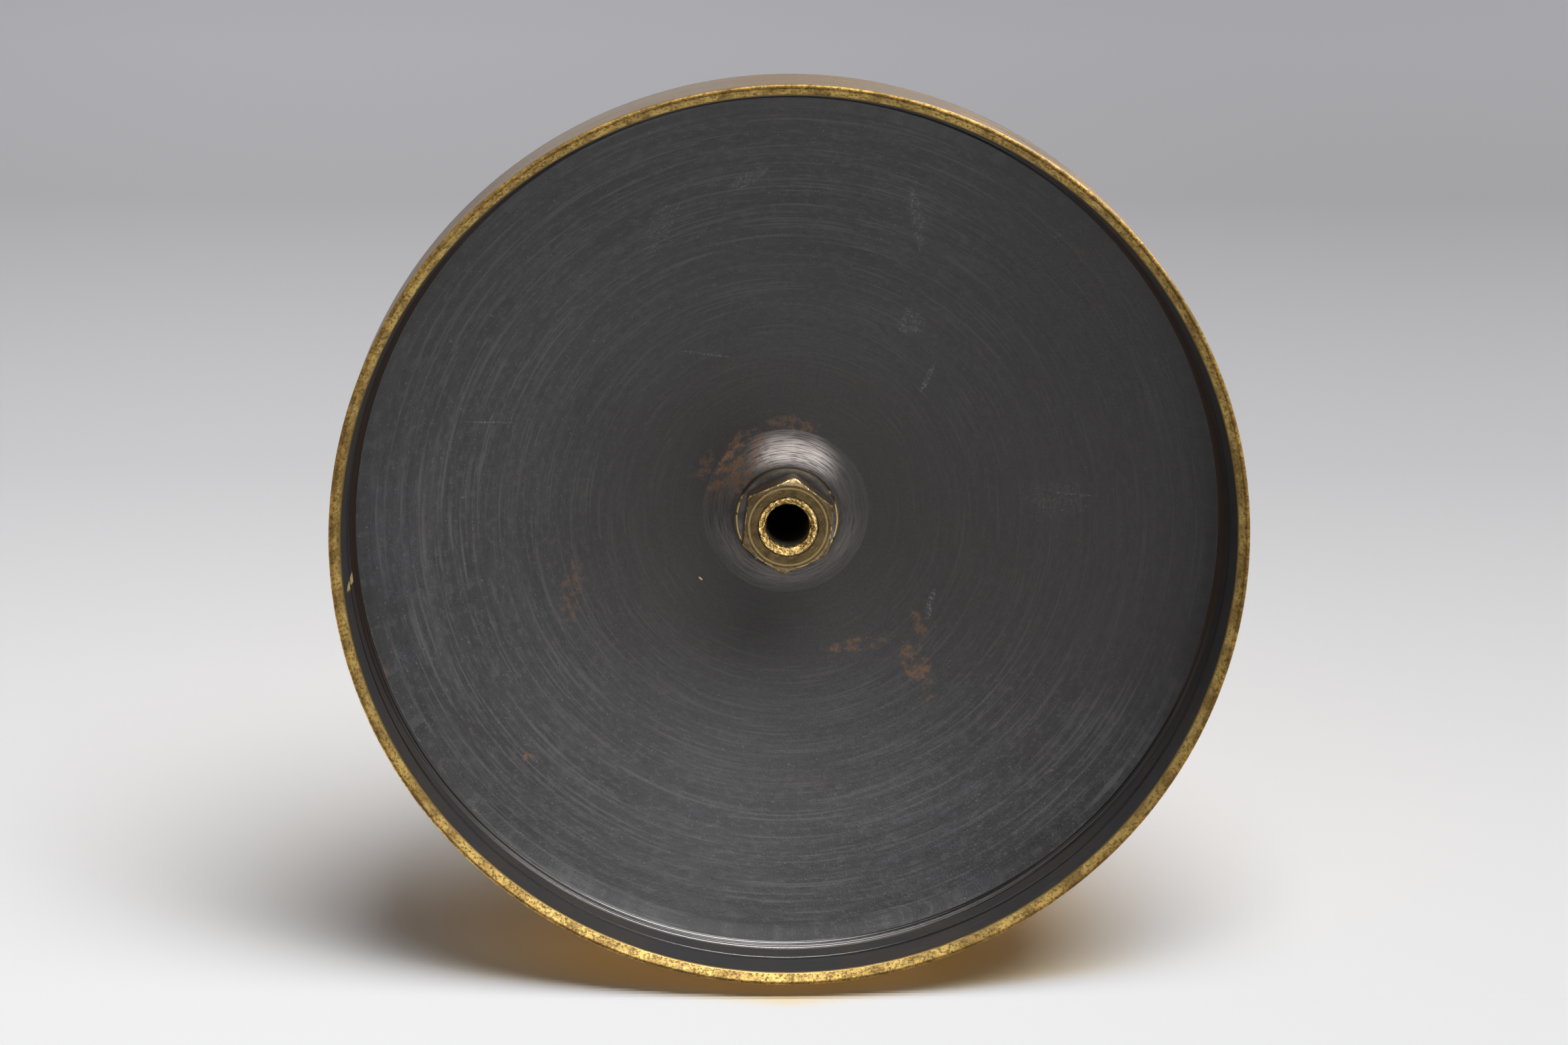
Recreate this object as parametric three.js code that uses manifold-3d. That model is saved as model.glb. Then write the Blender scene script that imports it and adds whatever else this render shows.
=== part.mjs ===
// A turned brass candlestick: a round base clamped to a stack of stem pieces by a threaded tube,
// with a cup at the top that takes a lift-off nozzle and drip pan.
// Millimetres, +Z up, origin on the underside at the middle of the foot ring.

import * as THREE from "three";
import { mergeVertices } from "three/addons/utils/BufferGeometryUtils.js";
import Module from "manifold-3d";

// Fits between pieces
const seatGap = 0.3;
const boreClearance = 0.3;
const sleeveClearance = 0.4;

// Foot ring and side band of the base
const footDiameter = 150;
const footLandWidth = 0.6;
const footRingWidth = 1.85;
const footBevelRise = 1;
const bandHeight = 16.8;
const bandEdgeRadius = 1.4;
const bandLandWidth = 4.2;

// Turned hollow under the base
const upperWallDepth = 6.2;
const upperWallDraft = 0.6;
const grooveDepth = 8.1;
const grooveCut = 0.2;
const hollowWallDepth = 11.4;
const hollowWallDraft = 0.4;
const dishEdgeWidth = 1.55;
const dishEdgeRise = 3.1;
const dishRise = 13.6;

// Boss that the washer bears on
const bossDrop = 5.1;
const bossFaceRadius = 8.8;
const bossRootRadius = 14;

// Top of the base
const plateThickness = 4;
const shoulderRadius = 38;
const shoulderStep = 2;
const shoulderLand = 1.2;
const shoulderRound = 5.5;
const neckRadius = 17;
const neckRise = 15.9;
const neckBead = 1.5;

// Threaded tie tube with its nuts and washers
const tubeDiameter = 10;
const tubeBore = 7.1;
const tubeCountersink = 1.4;
const tubeEndSpare = 1;
const baseWasherDiameter = 17.4;
const baseWasherThickness = 2.3;
const baseNutFlats = 14.4;
const baseNutHeight = 5.6;
const baseNutTurnDegrees = 37;
const nutFaceInset = 0.1;
const nutChamferDegrees = 30;
const socketWasherDiameter = 21;
const socketWasherThickness = 1.6;
const socketNutFlats = 17;
const socketNutHeight = 6;

// Stem foot
const stemFootHeight = 18;
const stemFootTorus = 3;
const stemFootRadius = 20;
const stemFootWaist = 9.5;

// Knops
const lowerKnopHeight = 34;
const lowerKnopRadius = 17;
const upperKnopHeight = 24;
const upperKnopRadius = 14.5;
const knopCollarRadius = 9.5;
const knopCollarHeight = 2.4;

// Baluster shaft
const shaftHeight = 92;
const shaftFootRadius = 10;
const shaftFootHeight = 3;
const shaftBellyRadius = 13;
const shaftBellyHeight = 26;
const shaftWaistRadius = 7.4;
const shaftNeckHeight = 10;
const shaftBead = 1.6;

// Socket cup
const socketHeight = 62;
const socketFootRadius = 9.5;
const socketFootHeight = 2.4;
const socketBellyRadius = 16.5;
const socketBellyHeight = 36;
const socketRimRadius = 17.5;
const socketRimHeight = 3;
const socketBore = 25.2;
const socketDepth = 39;

// Lift-off nozzle and drip pan
const candleBore = 22;
const sleeveLength = 25;
const sleeveFloor = 1.6;
const panDiameter = 64;
const panThickness = 1.8;
const panDish = 6;
const collarHeight = 9;
const collarRadius = 13.6;

// How finely round pieces are cut
const baseSegments = 56;
const stemSegments = 28;
const fittingSegments = 20;
const arcSteps = 3;

const brass = { color: 0xa8854a, roughness: 0.35, metalness: 0.9 };
const polishedBrass = { color: 0xb8924f, roughness: 0.22, metalness: 0.95 };
const dullBrass = { color: 0x8c7440, roughness: 0.5, metalness: 0.85 };

const wasm = await Module();
wasm.setup();

// A piece's solid turned about the vertical axis. The path runs anticlockwise, radius to the right.
function turn(path, segments) {
  const geometry = new THREE.LatheGeometry(path.getPoints(arcSteps), segments);
  geometry.rotateX(Math.PI / 2);
  return geometry;
}

function turnedMesh(name, path, segments, finish) {
  const mesh = new THREE.Mesh(turn(path, segments), new THREE.MeshStandardMaterial(finish));
  mesh.name = name;
  return mesh;
}

// A closed path through the given corners, for a ring of plain section
function cornerPath(corners) {
  const path = new THREE.Path();
  path.moveTo(...corners[0]);
  for (const corner of corners.slice(1)) {
    path.lineTo(...corner);
  }
  path.lineTo(...corners[0]);
  return path;
}

function toManifold(geometry) {
  const bare = geometry.clone();
  bare.deleteAttribute("normal");
  bare.deleteAttribute("uv");
  const merged = mergeVertices(bare, 1e-4);
  return new wasm.Manifold(new wasm.Mesh({
    numProp: 3,
    vertProperties: new Float32Array(merged.attributes.position.array),
    triVerts: new Uint32Array(merged.index.array),
  }));
}

function fromManifold(solid) {
  const mesh = solid.getMesh();
  const geometry = new THREE.BufferGeometry();
  geometry.setAttribute("position", new THREE.BufferAttribute(new Float32Array(mesh.vertProperties), 3));
  geometry.setIndex(new THREE.BufferAttribute(new Uint32Array(mesh.triVerts), 1));
  geometry.computeVertexNormals();
  return geometry;
}

const footRadius = footDiameter / 2;
const tubeRadius = tubeDiameter / 2;
const throughRadius = tubeRadius + boreClearance;

// Heights and radii of the hollow, from the foot ring inwards
const hollowRadius = footRadius - footRingWidth;
const upperWallRadius = hollowRadius - upperWallDraft;
const grooveRadius = upperWallRadius + grooveCut;
const hollowWallRadius = grooveRadius - hollowWallDraft;
const dishEdgeRadius = hollowWallRadius - dishEdgeWidth;
const dishEdgeZ = hollowWallDepth + dishEdgeRise;

// The dish is a parabola that rises from its edge to the middle
const dishMiddleZ = dishEdgeZ + dishRise;
const ceilingZ = (radius) => dishMiddleZ - dishRise * (radius / dishEdgeRadius) ** 2;
const dishTopZ = (radius) => ceilingZ(radius) + plateThickness;
const bossFaceZ = ceilingZ(bossRootRadius) - bossDrop;
const neckSeatZ = dishMiddleZ + neckRise;

// Carries a path along the dish from one radius to another, at a height above its ceiling
function followDish(path, fromRadius, toRadius, above, steps) {
  for (let step = 1; step <= steps; step += 1) {
    const radius = fromRadius + (toRadius - fromRadius) * step / steps;
    path.lineTo(radius, ceilingZ(radius) + above);
  }
}

function makeBase() {
  const landRadius = footRadius - bandLandWidth;
  const bossMiddleRadius = (bossFaceRadius + bossRootRadius) / 2;
  const roundRadius = shoulderRadius - shoulderLand;
  const roundZ = dishTopZ(shoulderRadius) + shoulderStep;
  const coveRadius = roundRadius - shoulderRound - shoulderLand;
  const coveZ = roundZ + shoulderRound;
  const beadZ = neckSeatZ - 2 * neckBead;
  const path = new THREE.Path();

  // Boss and hollow, from the bore out to the foot ring
  path.moveTo(throughRadius, bossFaceZ);
  path.lineTo(bossFaceRadius, bossFaceZ);
  path.quadraticCurveTo(bossMiddleRadius, bossFaceZ, bossMiddleRadius, bossFaceZ + bossDrop / 2);
  path.quadraticCurveTo(bossMiddleRadius, ceilingZ(bossRootRadius), bossRootRadius, ceilingZ(bossRootRadius));
  followDish(path, bossRootRadius, dishEdgeRadius, 0, 7);
  path.quadraticCurveTo(hollowWallRadius, dishEdgeZ, hollowWallRadius, hollowWallDepth);
  path.lineTo(grooveRadius, grooveDepth);
  path.lineTo(upperWallRadius, upperWallDepth);
  path.lineTo(hollowRadius, footBevelRise);

  // Bevelled foot ring, side band with its rounded edge, and the land that the plate rises from
  path.lineTo(footRadius - footLandWidth, 0);
  path.lineTo(footRadius, 0);
  path.lineTo(footRadius, bandHeight - bandEdgeRadius);
  path.absarc(footRadius - bandEdgeRadius, bandHeight - bandEdgeRadius, bandEdgeRadius, 0, Math.PI / 2, false);
  path.lineTo(landRadius, bandHeight);
  path.lineTo(landRadius, dishTopZ(landRadius));

  // Domed plate up to the shoulder, then the cove and bead of the neck
  followDish(path, landRadius, shoulderRadius, plateThickness, 4);
  path.lineTo(shoulderRadius, roundZ);
  path.lineTo(roundRadius, roundZ);
  path.absarc(roundRadius - shoulderRound, roundZ, shoulderRound, 0, Math.PI / 2, false);
  path.lineTo(coveRadius, coveZ);
  path.quadraticCurveTo(neckRadius - neckBead, coveZ + 1, neckRadius - neckBead, beadZ);
  path.absarc(neckRadius - neckBead, beadZ + neckBead, neckBead, -Math.PI / 2, Math.PI / 2, false);
  path.lineTo(throughRadius, neckSeatZ);
  path.lineTo(throughRadius, bossFaceZ);
  return turnedMesh("base", path, baseSegments, polishedBrass);
}

function makeWasher(name, diameter, thickness) {
  const edge = 0.3;
  const radius = diameter / 2;
  const path = cornerPath([
    [throughRadius, 0],
    [radius - edge, 0],
    [radius, edge],
    [radius, thickness - edge],
    [radius - edge, thickness],
    [throughRadius, thickness],
  ]);
  return turnedMesh(name, path, fittingSegments, dullBrass);
}

// A hexagon nut standing on z = 0, its corners taken off by a cone at both ends
function makeNut(name, flats, height) {
  const cornerRadius = flats / Math.sqrt(3);
  const chamferRadius = flats / 2 - nutFaceInset;
  const chamferRise = (cornerRadius - chamferRadius) * Math.tan(THREE.MathUtils.degToRad(nutChamferDegrees));
  const hexagon = new THREE.Shape();
  for (let corner = 0; corner < 6; corner += 1) {
    const angle = corner * Math.PI / 3;
    const point = [cornerRadius * Math.cos(angle), cornerRadius * Math.sin(angle)];
    if (corner === 0) {
      hexagon.moveTo(...point);
    } else {
      hexagon.lineTo(...point);
    }
  }
  hexagon.closePath();
  const prism = new THREE.ExtrudeGeometry(hexagon, { depth: height, bevelEnabled: false });
  const outside = cornerRadius + 0.5;
  const outsideRise = chamferRise * (outside - chamferRadius) / (cornerRadius - chamferRadius);
  const cone = turn(cornerPath([
    [throughRadius, 0],
    [chamferRadius, 0],
    [outside, outsideRise],
    [outside, height - outsideRise],
    [chamferRadius, height],
    [throughRadius, height],
  ]), 2 * fittingSegments);
  const solid = toManifold(prism).intersect(toManifold(cone));
  const mesh = new THREE.Mesh(fromManifold(solid), new THREE.MeshStandardMaterial(dullBrass));
  mesh.name = name;
  return mesh;
}

function makeTube(length) {
  const boreRadius = tubeBore / 2;
  const edge = 0.4;
  const path = cornerPath([
    [boreRadius + tubeCountersink - edge, 0],
    [tubeRadius - edge / 2, 0],
    [tubeRadius, edge],
    [tubeRadius, length - edge],
    [tubeRadius - edge, length],
    [boreRadius, length],
    [boreRadius, tubeCountersink],
  ]);
  return turnedMesh("tie_tube", path, fittingSegments, dullBrass);
}

// Lowest stem piece: a torus, a cove and a small bead under the knop
function makeStemFoot() {
  const torusTop = 2 * stemFootTorus;
  const coveStart = stemFootRadius - stemFootTorus - 1;
  const beadRadius = 1;
  const beadZ = stemFootHeight - 2 * beadRadius;
  const path = new THREE.Path();
  path.moveTo(throughRadius, 0);
  path.lineTo(stemFootRadius - stemFootTorus, 0);
  path.absarc(stemFootRadius - stemFootTorus, stemFootTorus, stemFootTorus, -Math.PI / 2, Math.PI / 2, false);
  path.lineTo(coveStart, torusTop);
  path.lineTo(coveStart, torusTop + 1);
  path.quadraticCurveTo(stemFootWaist - beadRadius, torusTop + 1, stemFootWaist - beadRadius, beadZ);
  path.absarc(stemFootWaist - beadRadius, beadZ + beadRadius, beadRadius, -Math.PI / 2, Math.PI / 2, false);
  path.lineTo(throughRadius, stemFootHeight);
  path.lineTo(throughRadius, 0);
  return turnedMesh("stem_foot", path, stemSegments, brass);
}

// A knop: an oval swelling between two square collars
function makeKnop(name, height, radius) {
  const neck = knopCollarRadius - 1.2;
  const middle = height / 2;
  const ovalTop = height - knopCollarHeight - 1.6;
  const ovalBottom = knopCollarHeight + 1.6;
  const path = new THREE.Path();
  path.moveTo(throughRadius, 0);
  path.lineTo(knopCollarRadius, 0);
  path.lineTo(knopCollarRadius, knopCollarHeight);
  path.lineTo(neck, knopCollarHeight);
  path.lineTo(neck, ovalBottom);
  path.bezierCurveTo(radius - 2, ovalBottom, radius, middle - 5, radius, middle);
  path.bezierCurveTo(radius, middle + 5, radius - 2, ovalTop, neck, ovalTop);
  path.lineTo(neck, height - knopCollarHeight);
  path.lineTo(knopCollarRadius, height - knopCollarHeight);
  path.lineTo(knopCollarRadius, height);
  path.lineTo(throughRadius, height);
  path.lineTo(throughRadius, 0);
  return turnedMesh(name, path, stemSegments, brass);
}

// Baluster shaft: a belly low down that tapers to a waist, with a bead under the upper collar
function makeShaft() {
  const neckZ = shaftHeight - shaftNeckHeight;
  const beadCentre = neckZ + shaftBead;
  const collarRadius = shaftWaistRadius + 1.4;
  const path = new THREE.Path();
  path.moveTo(throughRadius, 0);
  path.lineTo(shaftFootRadius, 0);
  path.lineTo(shaftFootRadius, shaftFootHeight);
  path.lineTo(shaftFootRadius - 1.6, shaftFootHeight);
  path.bezierCurveTo(
    shaftFootRadius - 1.6, shaftFootHeight + 7,
    shaftBellyRadius, shaftBellyHeight - 12,
    shaftBellyRadius, shaftBellyHeight);
  path.bezierCurveTo(
    shaftBellyRadius, shaftBellyHeight + 16,
    shaftWaistRadius, neckZ - 30,
    shaftWaistRadius, neckZ);
  path.absarc(shaftWaistRadius, beadCentre, shaftBead, -Math.PI / 2, Math.PI / 2, false);
  path.lineTo(shaftWaistRadius, shaftHeight - 3);
  path.lineTo(collarRadius, shaftHeight - 2);
  path.lineTo(collarRadius, shaftHeight);
  path.lineTo(throughRadius, shaftHeight);
  path.lineTo(throughRadius, 0);
  return turnedMesh("shaft", path, stemSegments, brass);
}

// Vase-shaped cup whose bore takes the nozzle sleeve and hides the upper nut
function makeSocket() {
  const floorZ = socketHeight - socketDepth;
  const boreRadius = socketBore / 2;
  const waist = socketFootRadius - 1.4;
  const rimZ = socketHeight - socketRimHeight;
  const rimRound = socketRimHeight / 2;
  const path = new THREE.Path();
  path.moveTo(throughRadius, 0);
  path.lineTo(socketFootRadius, 0);
  path.lineTo(socketFootRadius, socketFootHeight);
  path.lineTo(waist, socketFootHeight);
  path.quadraticCurveTo(waist, floorZ / 2, waist + 2, floorZ / 2 + 3);
  path.bezierCurveTo(
    socketBellyRadius - 2, floorZ / 2 + 6,
    socketBellyRadius, socketBellyHeight - 12,
    socketBellyRadius, socketBellyHeight);
  path.bezierCurveTo(
    socketBellyRadius, socketBellyHeight + 10,
    boreRadius + 1.8, rimZ - 8,
    boreRadius + 2, rimZ);
  path.lineTo(socketRimRadius - rimRound, rimZ);
  path.absarc(socketRimRadius - rimRound, rimZ + rimRound, rimRound, -Math.PI / 2, Math.PI / 2, false);
  path.lineTo(boreRadius, socketHeight);
  path.lineTo(boreRadius, floorZ);
  path.lineTo(throughRadius, floorZ);
  path.lineTo(throughRadius, 0);
  return turnedMesh("socket", path, stemSegments, brass);
}

// Lift-off nozzle: a sleeve with a floor, a dished drip pan and a collar round the candle
function makeNozzle() {
  const boreRadius = candleBore / 2;
  const sleeveRadius = socketBore / 2 - sleeveClearance;
  const hubRadius = socketRimRadius - 1;
  const panRadius = panDiameter / 2;
  const rimRadius = panThickness / 2;
  const sleeveBottom = -sleeveLength;
  const path = new THREE.Path();
  path.moveTo(0, sleeveBottom);
  path.lineTo(sleeveRadius - 1, sleeveBottom);
  path.lineTo(sleeveRadius, sleeveBottom + 1);
  path.lineTo(sleeveRadius, 0);
  path.lineTo(hubRadius, 0);
  path.quadraticCurveTo(panRadius - 4, 0, panRadius - rimRadius, panDish);
  path.absarc(panRadius - rimRadius, panDish + rimRadius, rimRadius, -Math.PI / 2, Math.PI / 2, false);
  path.quadraticCurveTo(panRadius - 5, panThickness, hubRadius, panThickness);
  path.quadraticCurveTo(collarRadius, panThickness, collarRadius - 0.6, collarHeight - 2);
  path.lineTo(collarRadius, collarHeight - 2);
  path.lineTo(collarRadius, collarHeight - 0.4);
  path.lineTo(collarRadius - 0.4, collarHeight);
  path.lineTo(boreRadius + 0.4, collarHeight);
  path.lineTo(boreRadius, collarHeight - 0.4);
  path.lineTo(boreRadius, sleeveBottom + sleeveFloor);
  path.lineTo(0, sleeveBottom + sleeveFloor);
  return turnedMesh("nozzle", path, stemSegments, polishedBrass);
}

const candlestick = new THREE.Group();

function place(mesh, z) {
  mesh.position.z = z;
  candlestick.add(mesh);
  return mesh;
}

place(makeBase(), 0);

// Washer and nut hang below the boss, and the tube ends flush with the nut's lower face
const baseWasherZ = bossFaceZ - seatGap - baseWasherThickness;
const baseNutZ = baseWasherZ - seatGap - baseNutHeight;
place(makeWasher("base_washer", baseWasherDiameter, baseWasherThickness), baseWasherZ);
const baseNut = place(makeNut("base_nut", baseNutFlats, baseNutHeight), baseNutZ);
baseNut.rotation.z = THREE.MathUtils.degToRad(baseNutTurnDegrees);

// Stem pieces stand on each other from the neck of the base upwards
let stackZ = neckSeatZ;
function stack(mesh, height) {
  place(mesh, stackZ + seatGap);
  stackZ += seatGap + height;
}
stack(makeStemFoot(), stemFootHeight);
stack(makeKnop("lower_knop", lowerKnopHeight, lowerKnopRadius), lowerKnopHeight);
stack(makeShaft(), shaftHeight);
stack(makeKnop("upper_knop", upperKnopHeight, upperKnopRadius), upperKnopHeight);
stack(makeSocket(), socketHeight);

// Upper washer and nut lie on the floor of the cup, and the tube ends just above the nut
const socketFloorZ = stackZ - socketDepth;
const socketWasherZ = socketFloorZ + seatGap;
const socketNutZ = socketWasherZ + socketWasherThickness + seatGap;
place(makeWasher("socket_washer", socketWasherDiameter, socketWasherThickness), socketWasherZ);
place(makeNut("socket_nut", socketNutFlats, socketNutHeight), socketNutZ);
place(makeTube(socketNutZ + socketNutHeight + tubeEndSpare - baseNutZ), baseNutZ);

place(makeNozzle(), stackZ + seatGap);

export default candlestick;
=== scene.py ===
"""Looks of the turned brass candlestick: fine turned surfaces, brass and tarnish, stage, light and camera.

Metres, +Z up, origin under the middle of the base. Lengths below are written in millimetres times MM.
"""

import math

import bpy
from mathutils import Matrix, Vector
from mathutils import noise as value_noise


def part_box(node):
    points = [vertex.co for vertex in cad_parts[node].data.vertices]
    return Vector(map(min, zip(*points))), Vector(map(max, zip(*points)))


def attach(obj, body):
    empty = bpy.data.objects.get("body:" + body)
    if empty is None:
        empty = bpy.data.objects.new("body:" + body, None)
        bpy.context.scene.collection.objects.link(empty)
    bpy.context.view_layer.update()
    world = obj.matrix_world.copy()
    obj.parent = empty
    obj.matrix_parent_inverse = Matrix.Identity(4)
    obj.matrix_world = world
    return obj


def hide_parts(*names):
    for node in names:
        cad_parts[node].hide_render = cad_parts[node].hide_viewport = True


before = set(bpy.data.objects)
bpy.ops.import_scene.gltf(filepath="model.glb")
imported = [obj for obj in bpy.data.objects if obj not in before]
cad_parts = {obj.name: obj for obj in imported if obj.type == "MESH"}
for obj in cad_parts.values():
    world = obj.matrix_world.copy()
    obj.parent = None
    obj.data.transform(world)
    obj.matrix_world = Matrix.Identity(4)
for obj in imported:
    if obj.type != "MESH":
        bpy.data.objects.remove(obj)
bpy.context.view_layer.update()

MM = 0.001

# The photograph's camera, from a fit to the circles of the foot ring and the hollow's wall
PHOTO_WIDTH = 2353
PHOTO_HEIGHT = 1568
FOCAL_PIXELS = 6440
SENSOR_WIDTH = 36
CLIP_START = 0.01
CLIP_END = 20
RING_X = 1.11 * MM
RING_Y = -3.7 * MM
RING_DISTANCE = 697.6 * MM
AXIS_PITCH = math.radians(12.22)
AXIS_YAW = math.radians(-1.76)

# Outside of the base
FOOT_RADIUS = 75 * MM
FOOT_LAND = 0.6 * MM
RING_WIDTH = 1.85 * MM
BEVEL_RISE = 1 * MM
BAND_HEIGHT = 16.8 * MM
BAND_EDGE = 1.4 * MM
BAND_LAND = 4.2 * MM
PLATE = 4 * MM
SHOULDER_RADIUS = 38 * MM
SHOULDER_STEP = 2 * MM
SHOULDER_LAND = 1.2 * MM
SHOULDER_ROUND = 5.5 * MM
NECK_RADIUS = 17 * MM
NECK_RISE = 15.9 * MM
NECK_BEAD = 1.5 * MM
THROUGH_RADIUS = 5.3 * MM

# Hollow under the base: wall, dish and boss
UPPER_WALL_RADIUS = 72.55 * MM
UPPER_WALL_Z = 6.2 * MM
GROOVE_RADIUS = 72.75 * MM
GROOVE_Z = 8.1 * MM
GROOVE_LIP = 0.22 * MM
GROOVE_RIM = 0.06 * MM
WALL_RADIUS = 72.35 * MM
WALL_TOP_Z = 11.4 * MM
RIB_START_RADIUS = 71.4 * MM
RIB_DEPTH = 0.012 * MM
RIB_COUNT = 5
RIB_STEPS = 56
TURN_DOWN_RADIUS = 69.0 * MM
DISH_EDGE_RADIUS = 70.8 * MM
DISH_EDGE_Z = 14.5 * MM
DISH_RISE = 13.6 * MM
DISH_STEPS = 200
WAVE_FADE_STEPS = 12
TURNED_LINE_RADIUS = 31 * MM
TURNED_LINE_DEPTH = 0.05 * MM
TURNED_LINE_WIDTH = 0.35 * MM
BOSS_DROP = 5.1 * MM
BOSS_FACE_RADIUS = 8.8 * MM
BOSS_ROOT_RADIUS = 14 * MM
BOSS_FADE = 2.8 * MM
BOSS_FADE_DROP = 0.8 * MM

# Waves left by the turning tool on the dish: pitch and depth in millimetres, and phase
TURNING_WAVES = ((1.9, 0.004, 0.4), (3.7, 0.008, 2.7), (7.9, 0.018, 0.9))

# Tie tube and lower nut
TUBE_RADIUS = 5 * MM
TUBE_BORE = 3.55 * MM
TUBE_MOUTH = 1.7 * MM
TUBE_LIP = 0.55 * MM
TEAR_REACH = 1.8 * MM
TEAR_SIZE = 0.55 * MM
TEAR_LIFT = 0.35 * MM
TEAR_SPREAD = 0.05
TEAR_EDGE = 0.3 * MM
TEAR_SHIFT = Vector((7, 3, 5))
NUT_FLATS = 14.4 * MM
NUT_CHAMFER_RADIUS = 7.1 * MM
NUT_CHAMFER_ANGLE = math.radians(30)
NUT_SHARP_ANGLE = math.radians(18)
NUT_TURN = math.radians(37)
NUT_BURR_HEIGHT = 0.04 * MM
NUT_CORNER_CUT = 0.12 * MM
NUT_BRUISE_CUT = 0.42 * MM

# How finely pieces are revolved, and how their corners are broken
BASE_SEGMENTS = 384
STEM_SEGMENTS = 160
FITTING_SEGMENTS = 144
SHARP_ANGLE = math.radians(32)
SOFT_ANGLE = math.radians(24)
SOFT_SHARE = 0.45
SOFT_LEAST = 0.2
SAME_POINT = 1e-7
ON_AXIS = 1e-6

# The finishes of the base's and the nut's faces, in the order of their materials
FOOT, HOLLOW, OUTSIDE, WALL, BOSS, FILLET, RUBBED = range(7)
NUT_FACE, NUT_CHAMFER, NUT_BURR, NUT_FLANK = range(4)

# The sockets that a colour mix uses
MIX_FACTOR, MIX_FIRST, MIX_SECOND, MIX_RESULT = 0, 6, 7, 2

RUST = (0.165, 0.074, 0.025)
RING_LEAST_RADIUS = 0.1 * MM
BLOB_EDGE_SCALE = 900
BLOB_SOLID = 0.7

# Marks seen in the hollow: pixel, depth, half length, half width, angle, raggedness, strength
RUST_STAINS = (
    ((1378, 1012), 18, 4.6, 2.4, 62, 1.6, 0.75),
    ((1290, 985), 18, 6.0, 1.3, -8, 1.9, 0.55),
    ((1385, 955), 18, 3.0, 1.2, 70, 1.6, 0.5),
    ((1400, 1062), 18, 1.2, 0.8, 0, 1.4, 0.6),
    ((1112, 680), 25, 5.5, 2.6, -52, 1.3, 0.7),
    ((1190, 640), 25, 5.0, 1.6, 6, 1.5, 0.5),
    ((1060, 700), 25, 3.2, 1.4, -70, 1.6, 0.4),
    ((792, 1148), 14, 1.1, 0.9, 0, 0.8, 0.9),
    ((855, 905), 16, 2.0, 6.0, 8, 1.7, 0.35),
    ((560, 1040), 14, 1.2, 9.0, 24, 1.8, 0.4),
    ((1588, 355), 15, 0.7, 0.6, 0, 0.8, 0.8),
)
SCUFFS = (
    ((1124, 272), 15, 4.2, 1.2, -28, 1.7, 0.5),
    ((1378, 330), 16, 1.1, 6.4, -10, 1.9, 0.45),
    ((1368, 490), 19, 2.6, 2.4, 0, 1.7, 0.4),
    ((990, 345), 16, 2.4, 5.2, 30, 2.0, 0.22),
    ((1395, 575), 20, 0.5, 3.4, 24, 1.2, 0.5),
    ((1400, 920), 19, 0.7, 3.0, 12, 1.3, 0.5),
    ((1590, 760), 17, 6.0, 3.6, 0, 2.2, 0.14),
    ((735, 640), 17, 4.6, 0.2, 4, 0.5, 0.8),
    ((1060, 540), 20, 4.5, 0.28, 8, 0.6, 0.5),
    ((1610, 750), 17, 5.5, 0.18, 2, 0.5, 0.4),
)
GOUGES = (
    ((1328, 503), 19, 1.5, 0.34, 48, 0.5, 0.95),
)
GOLD_NICKS = (
    ((1052, 880), 21, 0.45, 0.16, 40, 0.5, 0.9),
    ((1743, 456), 14, 0.34, 0.2, 60, 0.5, 0.8),
)
WALL_NICKS = (
    ((525, 880), 3.5, 0.45, 1.3, 12, 0.5, 1.0),
)

# The table that the candlestick lies on in the photograph, as steps that face the camera
TABLE_NEAR_Z = -420 * MM
TABLE_FAR_Z = 1000 * MM
TABLE_STEP = 1 * MM
TABLE_HALF_WIDTH = 620 * MM
TABLE_GAP = 0.4 * MM
RISER_OVERLAP = 0.75
PAN_RADIUS = 32 * MM
# Painted reflection: a glow of gold light thrown from the brass band onto the table beside and behind the
# ring
PAINTED_GLOW_CURVE = 0.2
PAINTED_GLOW_TINT = (0.97, 0.72, 0.33)
PAINTED_GLOW_SHARE = 0.85

# The table's colour along its length, mostly darker further off as a painted falloff of light: height in
# millimetres, colour
TABLE_COLOURS = (
    (-60, (0.95, 0.945, 0.945)),
    (250, (0.51, 0.505, 0.515)),
    (450, (0.36, 0.355, 0.37)),
    (600, (0.40, 0.395, 0.415)),
)

# How much lighter the table is shown to the camera at its left and right; the left being lighter is a
# painted falloff of light
SHOWN_LEFT = 2.12
SHOWN_RIGHT = 1.68
SHOWN_REACH = 200 * MM

# The level floor, and the room round it
FLOOR_REACH = 6.0
FLOOR_SIDES = 96
FLOOR_Z = -0.02 * MM
FLOOR_SOLID_RADIUS = 120 * MM
FLOOR_CLEAR_RADIUS = 600 * MM
ROOM_GREY = (0.74, 0.74, 0.75)
ROOM_LIGHT = (0.93, 0.95, 1.0)
ROOM_LIGHT_STRENGTH = 0.19

# Lamps: name, place, aim, width and height in metres, power in watts
LAMPS = (
    ("key_softbox", (0.28, -1.1, -0.40), (0, 0, 0.05), 1.0, 0.7, 21),
    ("table_bounce", (0.05, 0.34, -0.42), (0, 0, 0.02), 0.8, 0.5, 1.5),
    ("front_fill", (-0.5, -0.2, -1.1), (0, 0, 0.02), 0.7, 0.7, 0.5),
    ("top_softbox", (0.9, -0.9, 1.0), (0, 0, 0.12), 0.9, 0.9, 14),
    ("back_softbox", (-0.9, 0.8, 0.7), (0, 0, 0.12), 0.6, 0.9, 9),
)


def material(name):
    """A new material with its node tree emptied to one shader and the output."""
    mat = bpy.data.materials.new(name)
    mat.use_nodes = True
    tree = mat.node_tree
    tree.nodes.clear()
    output = tree.nodes.new("ShaderNodeOutputMaterial")
    shader = tree.nodes.new("ShaderNodeBsdfPrincipled")
    tree.links.new(shader.outputs["BSDF"], output.inputs["Surface"])
    return mat, tree, shader


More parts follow.
